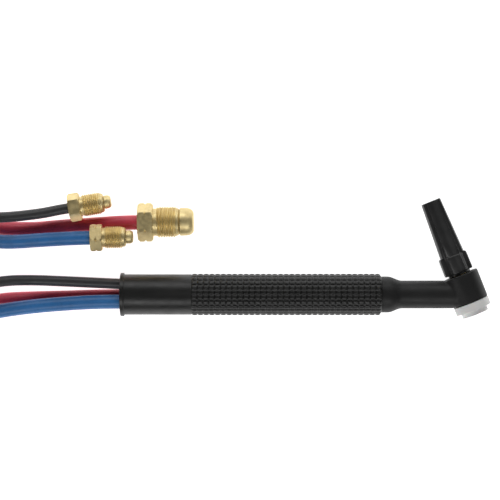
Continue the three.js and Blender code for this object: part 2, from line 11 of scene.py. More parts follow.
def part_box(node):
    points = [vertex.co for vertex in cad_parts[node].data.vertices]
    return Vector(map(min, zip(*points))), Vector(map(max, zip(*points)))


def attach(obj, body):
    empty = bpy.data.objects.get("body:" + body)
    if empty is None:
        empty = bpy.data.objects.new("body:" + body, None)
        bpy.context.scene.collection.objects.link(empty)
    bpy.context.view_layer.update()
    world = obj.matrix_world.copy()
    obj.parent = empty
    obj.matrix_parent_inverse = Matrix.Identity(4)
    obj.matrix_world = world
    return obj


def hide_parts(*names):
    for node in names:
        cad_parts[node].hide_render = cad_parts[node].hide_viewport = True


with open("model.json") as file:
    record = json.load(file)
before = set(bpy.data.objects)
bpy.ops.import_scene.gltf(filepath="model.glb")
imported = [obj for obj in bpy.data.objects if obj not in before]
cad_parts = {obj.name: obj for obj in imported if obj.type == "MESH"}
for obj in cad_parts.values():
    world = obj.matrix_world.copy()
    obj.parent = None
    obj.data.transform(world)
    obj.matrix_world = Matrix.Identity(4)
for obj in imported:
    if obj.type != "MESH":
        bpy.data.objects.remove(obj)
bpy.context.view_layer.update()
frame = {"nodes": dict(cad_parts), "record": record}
JOINTS = {joint["name"]: joint for joint in frame["record"]["behaviour"]["joints"]}

MM = 0.001
INCH = 0.0254
GAP = 0.3 * MM


# ---------- frames ----------


def axis_frame(origin, axis, upward=(0, 0, 1)):
    """A frame at origin whose X runs along axis and whose Z is as near upward as it can be."""
    x_axis = Vector(axis).normalized()
    y_axis = Vector(upward).cross(x_axis).normalized()
    z_axis = x_axis.cross(y_axis)
    turn = Matrix((x_axis, y_axis, z_axis)).transposed()
    return Matrix.Translation(origin) @ turn.to_4x4()


handle_low, handle_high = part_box("handle_grip")
HANDLE_LENGTH = handle_high[0] - handle_low[0]
HANDLE_AXIS_Y = (handle_low[1] + handle_high[1]) / 2
HANDLE_AXIS_Z = (handle_low[2] + handle_high[2]) / 2
HANDLE = Matrix.Translation((handle_low[0], HANDLE_AXIS_Y, HANDLE_AXIS_Z))

CROSSING_FROM_REAR = 246.4 * MM  # from the handle's rear end to where the head's axis crosses the neck's
head_axis = Vector(JOINTS["cap_turn"]["axis"])
HEAD_ORIGIN = HANDLE @ Vector((CROSSING_FROM_REAR, 0, 0))
HEAD = axis_frame(HEAD_ORIGIN, head_axis)


def fitting_frame(name):
    joint = JOINTS[f"{name}_nut_turn"]
    return axis_frame(joint["pos_m"], joint["axis"])


# ---------- camera ----------

VIEW_WIDTH = 355 * MM
VIEW_CENTRE = (-39.5 * MM, 5.9 * MM)
CAMERA_DISTANCE = 1.2
SENSOR_WIDTH = 36

camera_data = bpy.data.cameras.new("camera")
camera_data.sensor_width = SENSOR_WIDTH
camera_data.lens = SENSOR_WIDTH * CAMERA_DISTANCE / VIEW_WIDTH
camera = bpy.data.objects.new("camera", camera_data)
camera.location = (*VIEW_CENTRE, HANDLE_AXIS_Z + CAMERA_DISTANCE)
bpy.context.collection.objects.link(camera)
bpy.context.scene.camera = camera


# ---------- hoses ----------

HANK_END = Vector((-299, -4))  # the centre of the hanks' round end nearer the torch, in millimetres
HANK_RUN = 155
HANK_TURNS = 3
HANK_BASE = 1.9
ARC_POINTS = 24
ROUTE_STEPS = 7

# Each hose in millimetres: its radius, its places at the barbed tail and where it leaves the handle (both
# from the handle's rear end), its hank (the outermost turn's reach, and the pitch), and its two routes.
HOSES = {
    "power": {
        "radius": 5.25,
        "tail": (96, -0.6, -6.05),
        "leaves": (0, -1.6, -6.5),
        "hank": (54.71, 10.55),
        "out": [
            (-150, -27.6, 8), (-172, -28.3, 6.4), (-194, -28.9, 5.6), (-216, -30.1, 5.4),
            (-230, -33.2, 5.5), (-244, -38.5, 6), (-258, -45.4, 6.6), (-272, -52.4, 7), (-286, -57.2, 7.15),
        ],
        "back": [
            (-286, 49.5, 17.65), (-272, 45.4, 17.6), (-258, 38.4, 16.6), (-244, 30.4, 13.6),
            (-230, 24.7, 9.8), (-216, 21.6, 6.8), (-196, 20.8, 5.4), (-176, 22.3, 5.3), (-158, 23.6, 5.9),
            (-146, 24.4, 8), (-136, 25, 10.4),
        ],
        "nut_depth": 14.8,
    },
    "water": {
        "radius": 5,
        "tail": (108, -4.3, 4.55),
        "leaves": (0, -5, 5.4),
        "hank": (54.79, 10.1),
        "out": [
            (-150, -31, 19.6), (-172, -32.3, 18.3), (-194, -34.2, 19), (-216, -37.2, 22),
            (-230, -39.9, 25), (-244, -43.4, 27.6), (-258, -48, 28.4), (-272, -53, 28.3),
            (-286, -57.3, 28.2),
        ],
        "back": [
            (-286, 49.3, 38.2), (-274, 45.6, 38.1), (-263, 38.6, 37.7), (-252, 29.4, 36.3),
            (-241, 20.4, 31.5), (-229, 14.2, 24.5), (-216, 11.8, 18.3), (-203, 11.9, 16),
            (-190, 12.8, 15.6), (-178, 13.5, 16.9), (-168, 14, 19.3),
        ],
        "nut_depth": 12.2,
    },
    "gas": {
        "radius": 3.75,
        "tail": (118, 6.8, 1.4),
        "leaves": (0, 7.6, 1.4),
        "hank": (51.65, 7.6),
        "out": [
            (-150, -17.3, 15.4), (-172, -16.3, 15.4), (-192, -15.5, 19), (-209, -15.7, 27.6),
            (-222, -17.8, 37), (-234, -22.5, 44.8), (-246, -30.4, 48.4), (-259, -39.8, 48.2),
            (-272, -48.2, 47.5), (-286, -53.9, 47.25),
        ],
        "back": [
            (-286, 46.2, 54.75), (-272, 42.1, 54.6), (-258, 36.6, 52.7), (-244, 31.8, 46.8),
            (-229, 29, 36.5), (-214, 28.9, 26.3), (-200, 30.2, 20), (-186, 32.2, 16.4),
        ],
        "nut_depth": 12.2,
    },
}
BARB_LENGTH = 12 * MM


def smooth_route(points):
    """Points on a centripetal Catmull-Rom curve through the given points."""
    before = points[0] * 2 - points[1]
    after = points[-1] * 2 - points[-2]
    chain = [before, *points, after]
    route = []
    for i in range(1, len(chain) - 2):
        p0, p1, p2, p3 = chain[i - 1 : i + 3]
        t1 = (p1 - p0).length ** 0.5
        t2 = t1 + (p2 - p1).length ** 0.5
        t3 = t2 + (p3 - p2).length ** 0.5
        for step in range(ROUTE_STEPS):
            t = t1 + (t2 - t1) * step / ROUTE_STEPS
            a1 = p0.lerp(p1, t / t1)
            a2 = p1.lerp(p2, (t - t1) / (t2 - t1))
            a3 = p2.lerp(p3, (t - t2) / (t3 - t2))
            b1 = a1.lerp(a2, t / t2)
            b2 = a2.lerp(a3, (t - t1) / (t3 - t1))
            route.append(b1.lerp(b2, (t - t1) / (t2 - t1)))
    route.append(points[-1])
    return route


def round_end(centre, radius, degrees, heights):
    """Points on half a turn, clockwise seen from above, rising from one height to another."""
    points = []
    for i in range(ARC_POINTS + 1):
        part = i / ARC_POINTS
        angle = math.radians(degrees - 180 * part)
        rise = (1 - math.cos(math.pi * part)) / 2
        height = heights[0] + (heights[1] - heights[0]) * rise
        flat = centre + Vector((math.cos(angle), math.sin(angle))) * radius
        points.append(Vector((flat.x, flat.y, height)) * MM)
    return points


def hank_points(hose, floor):
    """Long loops: the lower layer winds in to the middle and the upper layer winds out again."""
    outer, pitch = hose["hank"]
    inward = [outer - pitch * turn for turn in range(HANK_TURNS)]
    reaches = inward + inward[::-1]
    heights = [floor + hose["radius"]] * HANK_TURNS + [floor + 3 * hose["radius"]] * HANK_TURNS
    far_end = HANK_END - Vector((HANK_RUN, 0))
    points = [Vector((HANK_END.x, HANK_END.y - outer, heights[0])) * MM]
    for turn, (reach, height) in enumerate(zip(reaches, heights)):
        points += round_end(far_end, reach, -90, (height, height))
        if turn + 1 == len(reaches):
            break
        following = reaches[turn + 1]
        if turn + 1 == HANK_TURNS:
            centre = HANK_END - Vector((0.62 * pitch, 0))
        else:
            centre = HANK_END + Vector((0, (reach - following) / 2))
        points += round_end(centre, (reach + following) / 2, 90, (height, heights[turn + 1]))
    points.append(Vector((HANK_END.x, HANK_END.y + outer, heights[-1])) * MM)
    return points


def hose_route(name, hose, floor):
    tail = HANDLE @ (Vector(hose["tail"]) * MM)
    leaves = HANDLE @ (Vector(hose["leaves"]) * MM)
    tail_end = tail + Vector((-13 * MM, 0, 0))
    settled = Vector((tail_end.x - 10 * MM, leaves.y, leaves.z))
    hank = hank_points(hose, floor)
    out = [tail_end + Vector((BARB_LENGTH - GAP, 0, 0)), tail_end, settled]
    out += [leaves + Vector((20 * MM, 0, 0)), leaves]
    out += [*(Vector(point) * MM for point in hose["out"]), hank[0]]
    fitting = fitting_frame(name)
    inside = [fitting @ Vector((along * MM, 0, 0)) for along in (-7, -1, 4, hose["nut_depth"])]
    back = [hank[-1], *(Vector(point) * MM for point in hose["back"]), *inside]
    return smooth_route(out)[:-1] + hank + smooth_route(back)[1:]


def hose_curve(name, points, radius):
    curve = bpy.data.curves.new(f"{name}_hose", "CURVE")
    curve.dimensions = "3D"
    curve.bevel_depth = 1  # scaled by each point's radius, which also keeps the curve's bounding box tight
    curve.bevel_resolution = 5
    curve.use_fill_caps = True
    spline = curve.splines.new("POLY")
    spline.points.add(len(points) - 1)
    for place, point in zip(spline.points, points):
        place.co = (*point, 1)
        place.radius = radius
    hose = bpy.data.objects.new(f"{name}_hose", curve)
    bpy.context.collection.objects.link(hose)
    return hose


hoses = {}
floor = HANK_BASE
for name, hose in HOSES.items():
    route = hose_route(name, hose, floor)
    floor += 4 * hose["radius"] + GAP / MM
    piece = hose_curve(name, route, hose["radius"] * MM)
    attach(piece, "torch")
    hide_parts(f"{name}_hose_out", f"{name}_coil", f"{name}_hose_back")
    hoses[name] = (piece, route)


# ---------- materials ----------


class Look:
    """A Principled material whose colour, roughness and bump come from procedural nodes."""

    def __init__(self, name, metallic=0.0, **sockets):
        self.material = bpy.data.materials.new(name)
        self.material.use_nodes = True
        self.tree = self.material.node_tree
        self.shader = self.tree.nodes["Principled BSDF"]
        self.shader.inputs["Metallic"].default_value = metallic
        for socket, value in sockets.items():
            self.shader.inputs[socket.replace("_", " ")].default_value = value
        self.place = self.add("ShaderNodeTexCoord").outputs["Object"]

    def add(self, kind, **settings):
        node = self.tree.nodes.new(kind)
        for name, value in settings.items():
            setattr(node, name, value)
        return node

    def link(self, output, socket):
        self.tree.links.new(output, socket)

    def stretched(self, scale):
        """The piece's own coordinates, stretched by a factor on each axis."""
        mapping = self.add("ShaderNodeMapping")
        mapping.inputs["Scale"].default_value = scale
        self.link(self.place, mapping.inputs["Vector"])
        return mapping.outputs["Vector"]

    def noise(self, scale, detail=3.0, rough=0.5, place=None):
        texture = self.add("ShaderNodeTexNoise")
        texture.inputs["Scale"].default_value = scale
        texture.inputs["Detail"].default_value = detail
        texture.inputs["Roughness"].default_value = rough
        self.link(place or self.place, texture.inputs["Vector"])
        return texture.outputs["Fac"]

    def ramp(self, value, stops):
        """Colours or greys at places from 0 to 1 along a value."""
        node = self.add("ShaderNodeValToRGB")
        elements = node.color_ramp.elements
        while len(elements) < len(stops):
            elements.new(0.5)
        for element, (position, colour) in zip(elements, stops):
            element.position = position
            element.color = (*colour, 1) if hasattr(colour, "__len__") else (colour, colour, colour, 1)
        self.link(value, node.inputs["Fac"])
        return node.outputs["Color"]

    def blend(self, first, second, kind="MULTIPLY", amount=1.0):
        node = self.add("ShaderNodeMix", data_type="RGBA", blend_type=kind)
        node.inputs["Factor"].default_value = amount
        self.link(first, node.inputs[6])
        self.link(second, node.inputs[7])
        return node.outputs[2]

    def colour(self, output):
        self.link(output, self.shader.inputs["Base Color"])

    def roughness(self, value, low, high):
        self.link(self.ramp(value, [(0.3, low), (0.7, high)]), self.shader.inputs["Roughness"])

    def bump(self, *layers):
        """Stacks bumps, each (height output, depth in metres)."""
        normal = None
        for height, depth in layers:
            node = self.add("ShaderNodeBump")
            node.inputs["Distance"].default_value = depth
            self.link(height, node.inputs["Height"])
            if normal:
                self.link(normal, node.inputs["Normal"])
            normal = node.outputs["Normal"]
        self.link(normal, self.shader.inputs["Normal"])


def shade(colour, factor):
    return tuple(channel * factor for channel in colour)


def moulded(name, colour, rough, grain, grain_depth, mottle=60, spread=0.25, **sockets):
    """Moulded plastic or rubber: a fine grain, soft mottling and uneven gloss."""
    look = Look(name, **sockets)
    patches = look.noise(mottle, detail=4)
    look.colour(look.ramp(patches, [(0.3, shade(colour, 1 - spread)), (0.7, shade(colour, 1 + spread))]))
    fine = look.noise(grain, detail=2)
    look.roughness(look.noise(mottle * 3, detail=5), rough - 0.06, rough + 0.06)
    look.bump((fine, grain_depth), (look.noise(grain / 6, detail=3), grain_depth * 1.5))
    return look.material


def hose_cover(name, colour, rough):
    """Smooth extruded hose: a faint grain with scuffs and dusty patches."""
    look = Look(name, Specular_IOR_Level=0.45)
    patches = look.noise(45, detail=5, rough=0.6)
    base = look.ramp(patches, [(0.3, shade(colour, 0.86)), (0.7, shade(colour, 1.12))])
    scuffs = look.ramp(look.noise(420, detail=4, rough=0.7), [(0.5, 1.0), (0.74, 0.84)])
    look.colour(look.blend(base, scuffs))
    look.roughness(look.noise(160, detail=4), rough - 0.07, rough + 0.08)
    look.bump((look.noise(1500, detail=2), 0.00002), (look.noise(130, detail=2), 0.00012))
    return look.material


def machined(name, colour, dark, rough):
    """Turned brass or copper: fine rings round the axis, tarnish and small dull patches."""
    look = Look(name, metallic=1.0)
    rings = look.noise(1, detail=3, rough=0.7, place=look.stretched((5200, 90, 90)))
    tarnish = look.noise(170, detail=6, rough=0.65)
    base = look.ramp(tarnish, [(0.32, dark), (0.5, colour), (0.75, shade(colour, 1.12))])
    look.colour(look.blend(base, look.ramp(rings, [(0.3, 0.88), (0.7, 1.0)])))
    look.roughness(look.noise(300, detail=5, rough=0.6), rough - 0.08, rough + 0.12)
    look.bump((rings, 0.000025))
    return look.material


def woven_tape(name, colour):
    """Hook-and-loop tape: a close weave under short loops."""
    look = Look(name, Roughness=0.9, Sheen_Weight=0.4, Sheen_Roughness=0.5)
    across = look.add("ShaderNodeTexWave", wave_type="BANDS", bands_direction="X")
    across.inputs["Scale"].default_value = 420
    look.link(look.place, across.inputs["Vector"])
    along = look.add("ShaderNodeTexWave", wave_type="BANDS", bands_direction="Z")
    along.inputs["Scale"].default_value = 420
    look.link(look.place, along.inputs["Vector"])
    weave = look.blend(across.outputs["Color"], along.outputs["Color"], kind="ADD", amount=0.5)
    loops = look.noise(2600, detail=3, rough=0.7)
    look.colour(look.ramp(loops, [(0.3, shade(colour, 0.6)), (0.7, shade(colour, 1.5))]))
    look.bump((weave, 0.0001), (loops, 0.00025))
    return look.material


BRASS = (0.84, 0.69, 0.36)
HANDLE_BLACK = (0.0125, 0.0125, 0.012)
MATERIALS = {
    "handle": moulded("handle", HANDLE_BLACK, 0.36, 2600, 0.00004, Specular_IOR_Level=0.4),
    "neck": moulded("neck", (0.014, 0.014, 0.014), 0.5, 2100, 0.00003, mottle=40, Specular_IOR_Level=0.3),
    "cap": moulded("cap", (0.022, 0.022, 0.022), 0.36, 1800, 0.00002, mottle=80, Specular_IOR_Level=0.5),
    "gasket": moulded(
        "gasket", (0.8, 0.8, 0.79), 0.42, 1500, 0.00002, mottle=50, spread=0.05, Subsurface_Weight=0.08,
        Subsurface_Scale=0.002,
    ),
    "seal": moulded("seal", (0.012, 0.012, 0.012), 0.6, 2000, 0.00003),
    "brass": machined("brass", BRASS, (0.7, 0.55, 0.27), 0.48),
    "copper": machined("copper", (0.66, 0.33, 0.18), (0.42, 0.18, 0.1), 0.3),
    "strap": woven_tape("strap", (0.02, 0.02, 0.022)),
    "power_hose": hose_cover("power_hose", (0.68, 0.06, 0.1), 0.4),
    "water_hose": hose_cover("water_hose", (0.034, 0.165, 0.42), 0.4),
    "gas_hose": hose_cover("gas_hose", (0.036, 0.036, 0.037), 0.42),
}


def finish_with(piece, name):
    piece.data.materials.clear()
    piece.data.materials.append(MATERIALS[name])


for name, (piece, _) in hoses.items():
    finish_with(piece, f"{name}_hose")


# ---------- mesh helpers ----------

ROUND = 64


def new_piece(name, points, faces, place, body, look, sharp=35):
    """A mesh piece in its own frame, placed, smoothed up to an angle and riding on a body."""
    mesh = bpy.data.meshes.new(name)
    mesh.from_pydata([tuple(point) for point in points], [], faces)
    mesh.validate()
    mesh.shade_smooth()
    mesh.set_sharp_from_angle(angle=math.radians(sharp))
    piece = bpy.data.objects.new(name, mesh)
    bpy.context.collection.objects.link(piece)
    piece.matrix_world = place
    outward(mesh)
    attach(piece, body)
    finish_with(piece, look)
    return piece


def outward(mesh):
    shell = bmesh.new()
    shell.from_mesh(mesh)
    bmesh.ops.recalc_face_normals(shell, faces=shell.faces)
    shell.to_mesh(mesh)
    shell.free()


def skin(rings, closed=False):
    """Points and faces through rings of equal counts, capped at both ends unless closed."""
    count = len(rings[0])
    points = [point for ring in rings for point in ring]
    faces = []
    spans = len(rings) if closed else len(rings) - 1
    for i in range(spans):
        low = i * count
        high = (i + 1) % len(rings) * count
        for k in range(count):
            next_k = (k + 1) % count
            faces.append((low + k, low + next_k, high + next_k, high + k))
    if not closed:
        last = len(points) - count
        faces.append(tuple(range(count - 1, -1, -1)))
        faces.append(tuple(range(last, len(points))))
    return points, faces


def round_ring(along, radius, count=ROUND):
    """A ring across X; radius is a number or a function of the angle from +Z."""
    ring = []
    for k in range(count):
        angle = 2 * math.pi * k / count
        reach = radius(angle) if callable(radius) else radius
        ring.append((along, -reach * math.sin(angle), reach * math.cos(angle)))
    return ring


def turned(name, profile, place, body, look, closed=False, count=ROUND, sharp=35):
    """A piece turned about X from (distance along, radius) pairs in metres."""
    rings = [round_ring(along, radius, count) for along, radius in profile]
    points, faces = skin(rings, closed)
    return new_piece(name, points, faces, place, body, look, sharp)


def rounded(profile, radius, steps=4):
    """Rounds the inner corners of a profile to a radius, or less where the edges are short."""
    corners = [Vector(point) for point in profile]
    smooth = [tuple(corners[0])]
    for before, corner, after in zip(corners, corners[1:], corners[2:]):
        reach = min(radius, (corner - before).length * 0.45, (after - corner).length * 0.45)
        start = corner + (before - corner).normalized() * reach
        end = corner + (after - corner).normalized() * reach
        for i in range(steps + 1):
            t = i / steps
            smooth.append(tuple(start.lerp(corner, t).lerp(corner.lerp(end, t), t)))
    smooth.append(tuple(corners[-1]))
    return smooth


def scaled(profile):
    """A profile in millimetres, in metres."""
    return [(along * MM, radius * MM) for along, radius in profile]


# ---------- handle ----------

PLAIN_LENGTH = 50.0
RIM = 15.4
RIM_LENGTH = 2.6
PLAIN_RADIUS = 14.35
BUMP_TOP = 14.8
BUMP_DEPTH = 0.8
BUMPS_ROUND = 24
BUMP_ROWS = 33
BUMP_STEPS = 8
BUMP_SQUARENESS = 2.4
NOSE_LENGTH = 2.6
NOSE_DROP = 1.25
HANDLE_BORE = 12.7


def bump_height(across, along):
    """A rounded square boss in a cell that runs from -0.5 to 0.5 each way."""
    side = 1 - abs(2 * across) ** BUMP_SQUARENESS
    end = 1 - abs(2 * along) ** BUMP_SQUARENESS
    return math.sqrt(max(side, 0) * max(end, 0))


def make_handle():
    length = HANDLE_LENGTH / MM
    rows_start = PLAIN_LENGTH + 0.6
    row_pitch = (length - 0.5 - rows_start) / BUMP_ROWS
    count = BUMPS_ROUND * BUMP_STEPS

    def bumpy(along):
        place = (along - rows_start) / row_pitch
        row_offset = place - math.floor(place) - 0.5
        nose = max(0.0, (along - (length - NOSE_LENGTH)) / NOSE_LENGTH)
        drop = NOSE_DROP * nose**2.2

        def radius(angle):
            column = angle / (2 * math.pi) * BUMPS_ROUND
            offset = column - math.floor(column) - 0.5
            return (BUMP_TOP - drop - BUMP_DEPTH * (1 - bump_height(offset, row_offset))) * MM

        return radius

    rim = [(0, HANDLE_BORE), (0, RIM), (RIM_LENGTH, RIM)]
    plain = [(RIM_LENGTH + 0.1, PLAIN_RADIUS), (PLAIN_LENGTH, PLAIN_RADIUS)]
    rings = [round_ring(along * MM, radius * MM, count) for along, radius in rounded(rim + plain, 0.6)]
    steps = BUMP_ROWS * BUMP_STEPS
    for i in range(steps + 1):
        along = rows_start + row_pitch * i / BUMP_STEPS
        rings.append(round_ring(along * MM, bumpy(along - 1e-6), count))
    lip = HANDLE_BORE + 0.2
    front = [(length - 0.2, lip), (length, lip), (length, HANDLE_BORE), (length - 2, HANDLE_BORE)]
    rings += [round_ring(along * MM, radius * MM, count) for along, radius in rounded(front, 0.3)]
    rings.append(round_ring(2 * MM, HANDLE_BORE * MM, count))
    points, faces = skin(rings, closed=True)
    handle = new_piece("handle", points, faces, HANDLE, "torch", "handle", sharp=50)
    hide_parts("handle_grip")


make_handle()


# ---------- head and neck ----------

NECK_RADIUS = 9.9
FLARE_RADIUS = 12.8
FLARE_STEPS = 12
PLUG_START = 167.0
PLUG_RADIUS = 12.4
CHANNEL_END = 238
CHANNELS = ((-4, -3.4, 3.8), (-4, 4, 2.7), (5, 0.5, 2.7))  # where the tubes run: across, up and radius
HEAD_FRONT = -5.5
HEAD_BACK = 15.1
HEAD_RADIUS = 12.85
JACKET_BORE = 9.7
CORE_BORE = 7.5
HEAD_LIP = 1.2
VOXEL = 0.42 * MM
FILLET = 2.6 * MM
FILLET_PASSES = 14


def smooth_step(value):
    value = min(max(value, 0), 1)
    return value * value * (3 - 2 * value)


def neck_profile():
    length = HANDLE_LENGTH / MM
    outline = [(PLUG_START, 0.01), (PLUG_START, PLUG_RADIUS - 0.5), (PLUG_START + 0.6, PLUG_RADIUS)]
    outline += [(length + 0.3, PLUG_RADIUS), (length + 0.3, FLARE_RADIUS), (length + 4.5, FLARE_RADIUS)]
    for i in range(1, FLARE_STEPS + 1):
        part = i / FLARE_STEPS
        along = length + 4.5 + 10 * part
        outline.append((along, FLARE_RADIUS + (NECK_RADIUS - FLARE_RADIUS) * smooth_step(part)))
    outline += [(CROSSING_FROM_REAR / MM, NECK_RADIUS), (CROSSING_FROM_REAR / MM, 0.01)]
    return scaled(outline)


def barrel_profile():
    outline = [(HEAD_FRONT, 0.01), (HEAD_FRONT, HEAD_RADIUS), (HEAD_BACK, HEAD_RADIUS), (HEAD_BACK, 0.01)]
    return scaled(rounded(outline, 0.7))


def scratch(name, profile, place, count=ROUND):
    rings = [round_ring(along, radius, count) for along, radius in profile]
    points, faces = skin(rings)
    mesh = bpy.data.meshes.new(name)
    mesh.from_pydata(points, [], faces)
    outward(mesh)
    piece = bpy.data.objects.new(name, mesh)
    bpy.context.collection.objects.link(piece)
    piece.matrix_world = place
    return piece


def with_modifiers(piece):
    """Replaces a piece's mesh by what its modifiers make of it."""
    depsgraph = bpy.context.evaluated_depsgraph_get()
    made = bpy.data.meshes.new_from_object(piece.evaluated_get(depsgraph))
    piece.modifiers.clear()
    piece.data = made


def cut(piece, tool):
    modifier = piece.modifiers.new("cut", "BOOLEAN")
    modifier.operation = "DIFFERENCE"
    modifier.object = tool
    modifier.solver = "EXACT"
    with_modifiers(piece)
    bpy.data.objects.remove(tool)


def soften_joint(mesh):
    """Smooths the moulding where the neck runs into the barrel, so that they meet in a fillet."""
    from_head = HEAD.inverted() @ HANDLE
    shell = bmesh.new()
    shell.from_mesh(mesh)
    near = []
    for vertex in shell.verts:
        neck_gap = abs(math.hypot(vertex.co.y, vertex.co.z) - NECK_RADIUS * MM)
        in_head = from_head @ vertex.co
        barrel_gap = abs(math.hypot(in_head.y, in_head.z) - HEAD_RADIUS * MM)
        if neck_gap < FILLET and barrel_gap < FILLET and vertex.co.x < CROSSING_FROM_REAR:
            near.append(vertex)
    every_way = {"factor": 0.5, "use_axis_x": True, "use_axis_y": True, "use_axis_z": True}
    for _ in range(FILLET_PASSES):
        bmesh.ops.smooth_vert(shell, verts=near, **every_way)
    bmesh.ops.smooth_vert(shell, verts=shell.verts, **every_way)
    shell.to_mesh(mesh)
    shell.free()


def make_moulding():
    neck = scratch("neck", neck_profile(), Matrix.Identity(4))
    front = scratch("front", scaled([(HEAD_FRONT - 40, 40), (HEAD_FRONT, 40)]), HANDLE.inverted() @ HEAD)
    cut(neck, front)
    barrel = scratch("barrel", barrel_profile(), HANDLE.inverted() @ HEAD, count=96)
    barrel.data.transform(barrel.matrix_world)
    shell = bmesh.new()
    shell.from_mesh(neck.data)
    shell.from_mesh(barrel.data)
    shell.to_mesh(neck.data)
    shell.free()
    bpy.data.objects.remove(barrel)
    remesh = neck.modifiers.new("remesh", "REMESH")
    remesh.mode = "VOXEL"
    remesh.voxel_size = VOXEL
    with_modifiers(neck)
    soften_joint(neck.data)
    lip = HEAD_BACK - HEAD_LIP
    bore = [(HEAD_FRONT - 1, JACKET_BORE), (lip, JACKET_BORE), (lip, CORE_BORE), (HEAD_BACK + 1, CORE_BORE)]
    cut(neck, scratch("bore", scaled(bore), HANDLE.inverted() @ HEAD, count=96))
    for y, z, radius in CHANNELS:
        start = Matrix.Translation(Vector((0, y, z)) * MM)
        channel = [(PLUG_START - 1, radius), (CHANNEL_END, radius)]
        cut(neck, scratch("bore", scaled(channel), start, count=32))
    neck.data.shade_smooth()
    neck.data.set_sharp_from_angle(angle=math.radians(50))
    neck.name = "neck_and_head"
    neck.matrix_world = HANDLE
    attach(neck, "torch")
    finish_with(neck, "neck")
    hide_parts("head_moulding")


make_moulding()

GASKET_BACK = -5.8
GASKET_FLANGE = 5.6
GASKET_STEP = 3.5
GASKET_RADIUS = 12.9
GASKET_NOSE = 9.6
GASKET_BORE = 5.2
gasket_flange = GASKET_BACK - GASKET_FLANGE
gasket_front = gasket_flange - GASKET_STEP
gasket_outline = [(GASKET_BACK, GASKET_BORE), (GASKET_BACK, GASKET_RADIUS), (gasket_flange, GASKET_RADIUS)]
gasket_outline += [(gasket_flange, GASKET_NOSE), (gasket_front, GASKET_NOSE), (gasket_front, GASKET_BORE)]
gasket_outline = scaled(rounded([*gasket_outline, (GASKET_BACK - 0.2, GASKET_BORE)], 0.35))
gasket = turned("gasket", gasket_outline, HEAD, "torch", "gasket", closed=True, count=96)
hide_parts("cup_gasket")


# ---------- threads and fittings ----------


def tooth(phase):
    """A 60-degree thread's height, from 0 at the root to 1 at the crest, with narrow flats."""
    offset = abs(phase - math.floor(phase) - 0.5) * 2
    return min(max((offset - 0.14) / 0.72, 0), 1)


def threaded_rings(start, length, crest, pitch, count=ROUND, inward=False, fade=0.7):
    """Rings of a helical thread, fading in and out over its ends. All in millimetres."""
    depth = 0.61 * pitch
    steps = round(length / pitch * 10)
    rings = []
    for i in range(steps + 1):
        along = start + length * i / steps
        ends = min(1, (along - start) / (fade * pitch), (start + length - along) / (fade * pitch))

        def radius(angle, along=along, ends=ends):
            height = tooth(along / pitch - angle / (2 * math.pi))
            drop = depth * (1 - height * max(ends, 0))
            return (crest + drop if inward else crest - drop) * MM

        rings.append(round_ring(along * MM, radius, count))
    return rings


SMALL_NUT = {
    "flats": 11 / 16 * INCH / MM,
    "hexagon": 8.2,
    "crest": 5 / 16 * INCH / MM,
    "pitch": INCH / MM / 18,
    "thread": (10, 12.7),
    "length": 25,
    "stem": 3.4,
    "nose": (4.75, 4.8),
}
LARGE_NUT = {
    "flats": 15 / 16 * INCH / MM,
    "hexagon": 10.8,
    "crest": 7 / 16 * INCH / MM,
    "pitch": INCH / MM / 14,
    "thread": (13.2, 14.5),
    "length": 29.6,
    "stem": 4.9,
    "nose": (9.9, 9.9),
}
FITTINGS = {
    "power": {"nut": LARGE_NUT, "spin": 0, "notched": True},
    "water": {"nut": SMALL_NUT, "spin": -19, "notched": True},
    "gas": {"nut": SMALL_NUT, "spin": 0, "notched": False},
}
NOTCH = 0.95
HEX_STEPS = 12
CHAMFER = 0.1  # of the hexagon's corner radius
CHAMFER_DROP = 0.096


def hexagon_rings(nut, notched, count):
    """The hexagon with chamfered ends and, on a left-hand nut, a V-groove round its corners."""
    flat = nut["flats"] / 2
    corner = flat / math.cos(math.pi / 6)
    length = nut["hexagon"]
    chamfer = CHAMFER * corner
    middle = length / 2
    places = [0.0]
    places += [chamfer * i / 6 for i in range(1, 7)]
    places += [middle - NOTCH + NOTCH * i / 4 for i in range(9)]
    places += [length - chamfer + chamfer * i / 6 for i in range(7)]
    rings = []
    for along in places:
        edge = min(along, length - along)
        reach = corner * (1 - CHAMFER_DROP * max(0, 1 - edge / chamfer))
        if notched:
            reach = min(reach, corner - NOTCH + abs(along - middle))

        def radius(angle, reach=reach):
            turn = (angle + math.pi / 6) % (math.pi / 3) - math.pi / 6
            return min(flat / math.cos(turn), reach) * MM

        rings.append(round_ring(along * MM, radius, count))
    return rings


def make_nut(name, fitting):
    nut = fitting["nut"]
    count = 6 * HEX_STEPS
    relief = nut["crest"] - 0.75 * nut["pitch"]
    thread_start, thread_length = nut["thread"]
    thread_end = thread_start + thread_length
    rings = hexagon_rings(nut, fitting["notched"], count)
    shoulder = [(nut["hexagon"], relief + 1.2), (nut["hexagon"], relief), (thread_start, relief)]
    rings += [round_ring(along * MM, radius * MM, count) for along, radius in rounded(shoulder, 0.3)]
    rings += threaded_rings(thread_start, thread_length, nut["crest"], nut["pitch"], count)
    lead = [(thread_end, relief), (nut["length"] - 1.2, relief), (nut["length"], relief - 0.9)]
    bore = nut["stem"] + 0.3
    mouth = HOSES[name]["radius"] + 0.4
    seat = HOSES[name]["nut_depth"] + 0.3
    inside = [(nut["length"], bore), (seat, bore), (seat, mouth), (0.6, mouth), (0, mouth + 0.6)]
    rings += [round_ring(along * MM, radius * MM, count) for along, radius in rounded(lead + inside, 0.25)]
    points, faces = skin(rings, closed=True)
    turn = Matrix.Rotation(math.radians(fitting["spin"]), 4, "X")
    place = fitting_frame(name) @ turn
    body = f"{name}_nut"
    piece = new_piece(f"{name}_swivel_nut", points, faces, place, body, "brass", sharp=24)
    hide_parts(f"{name}_nut")
    return piece


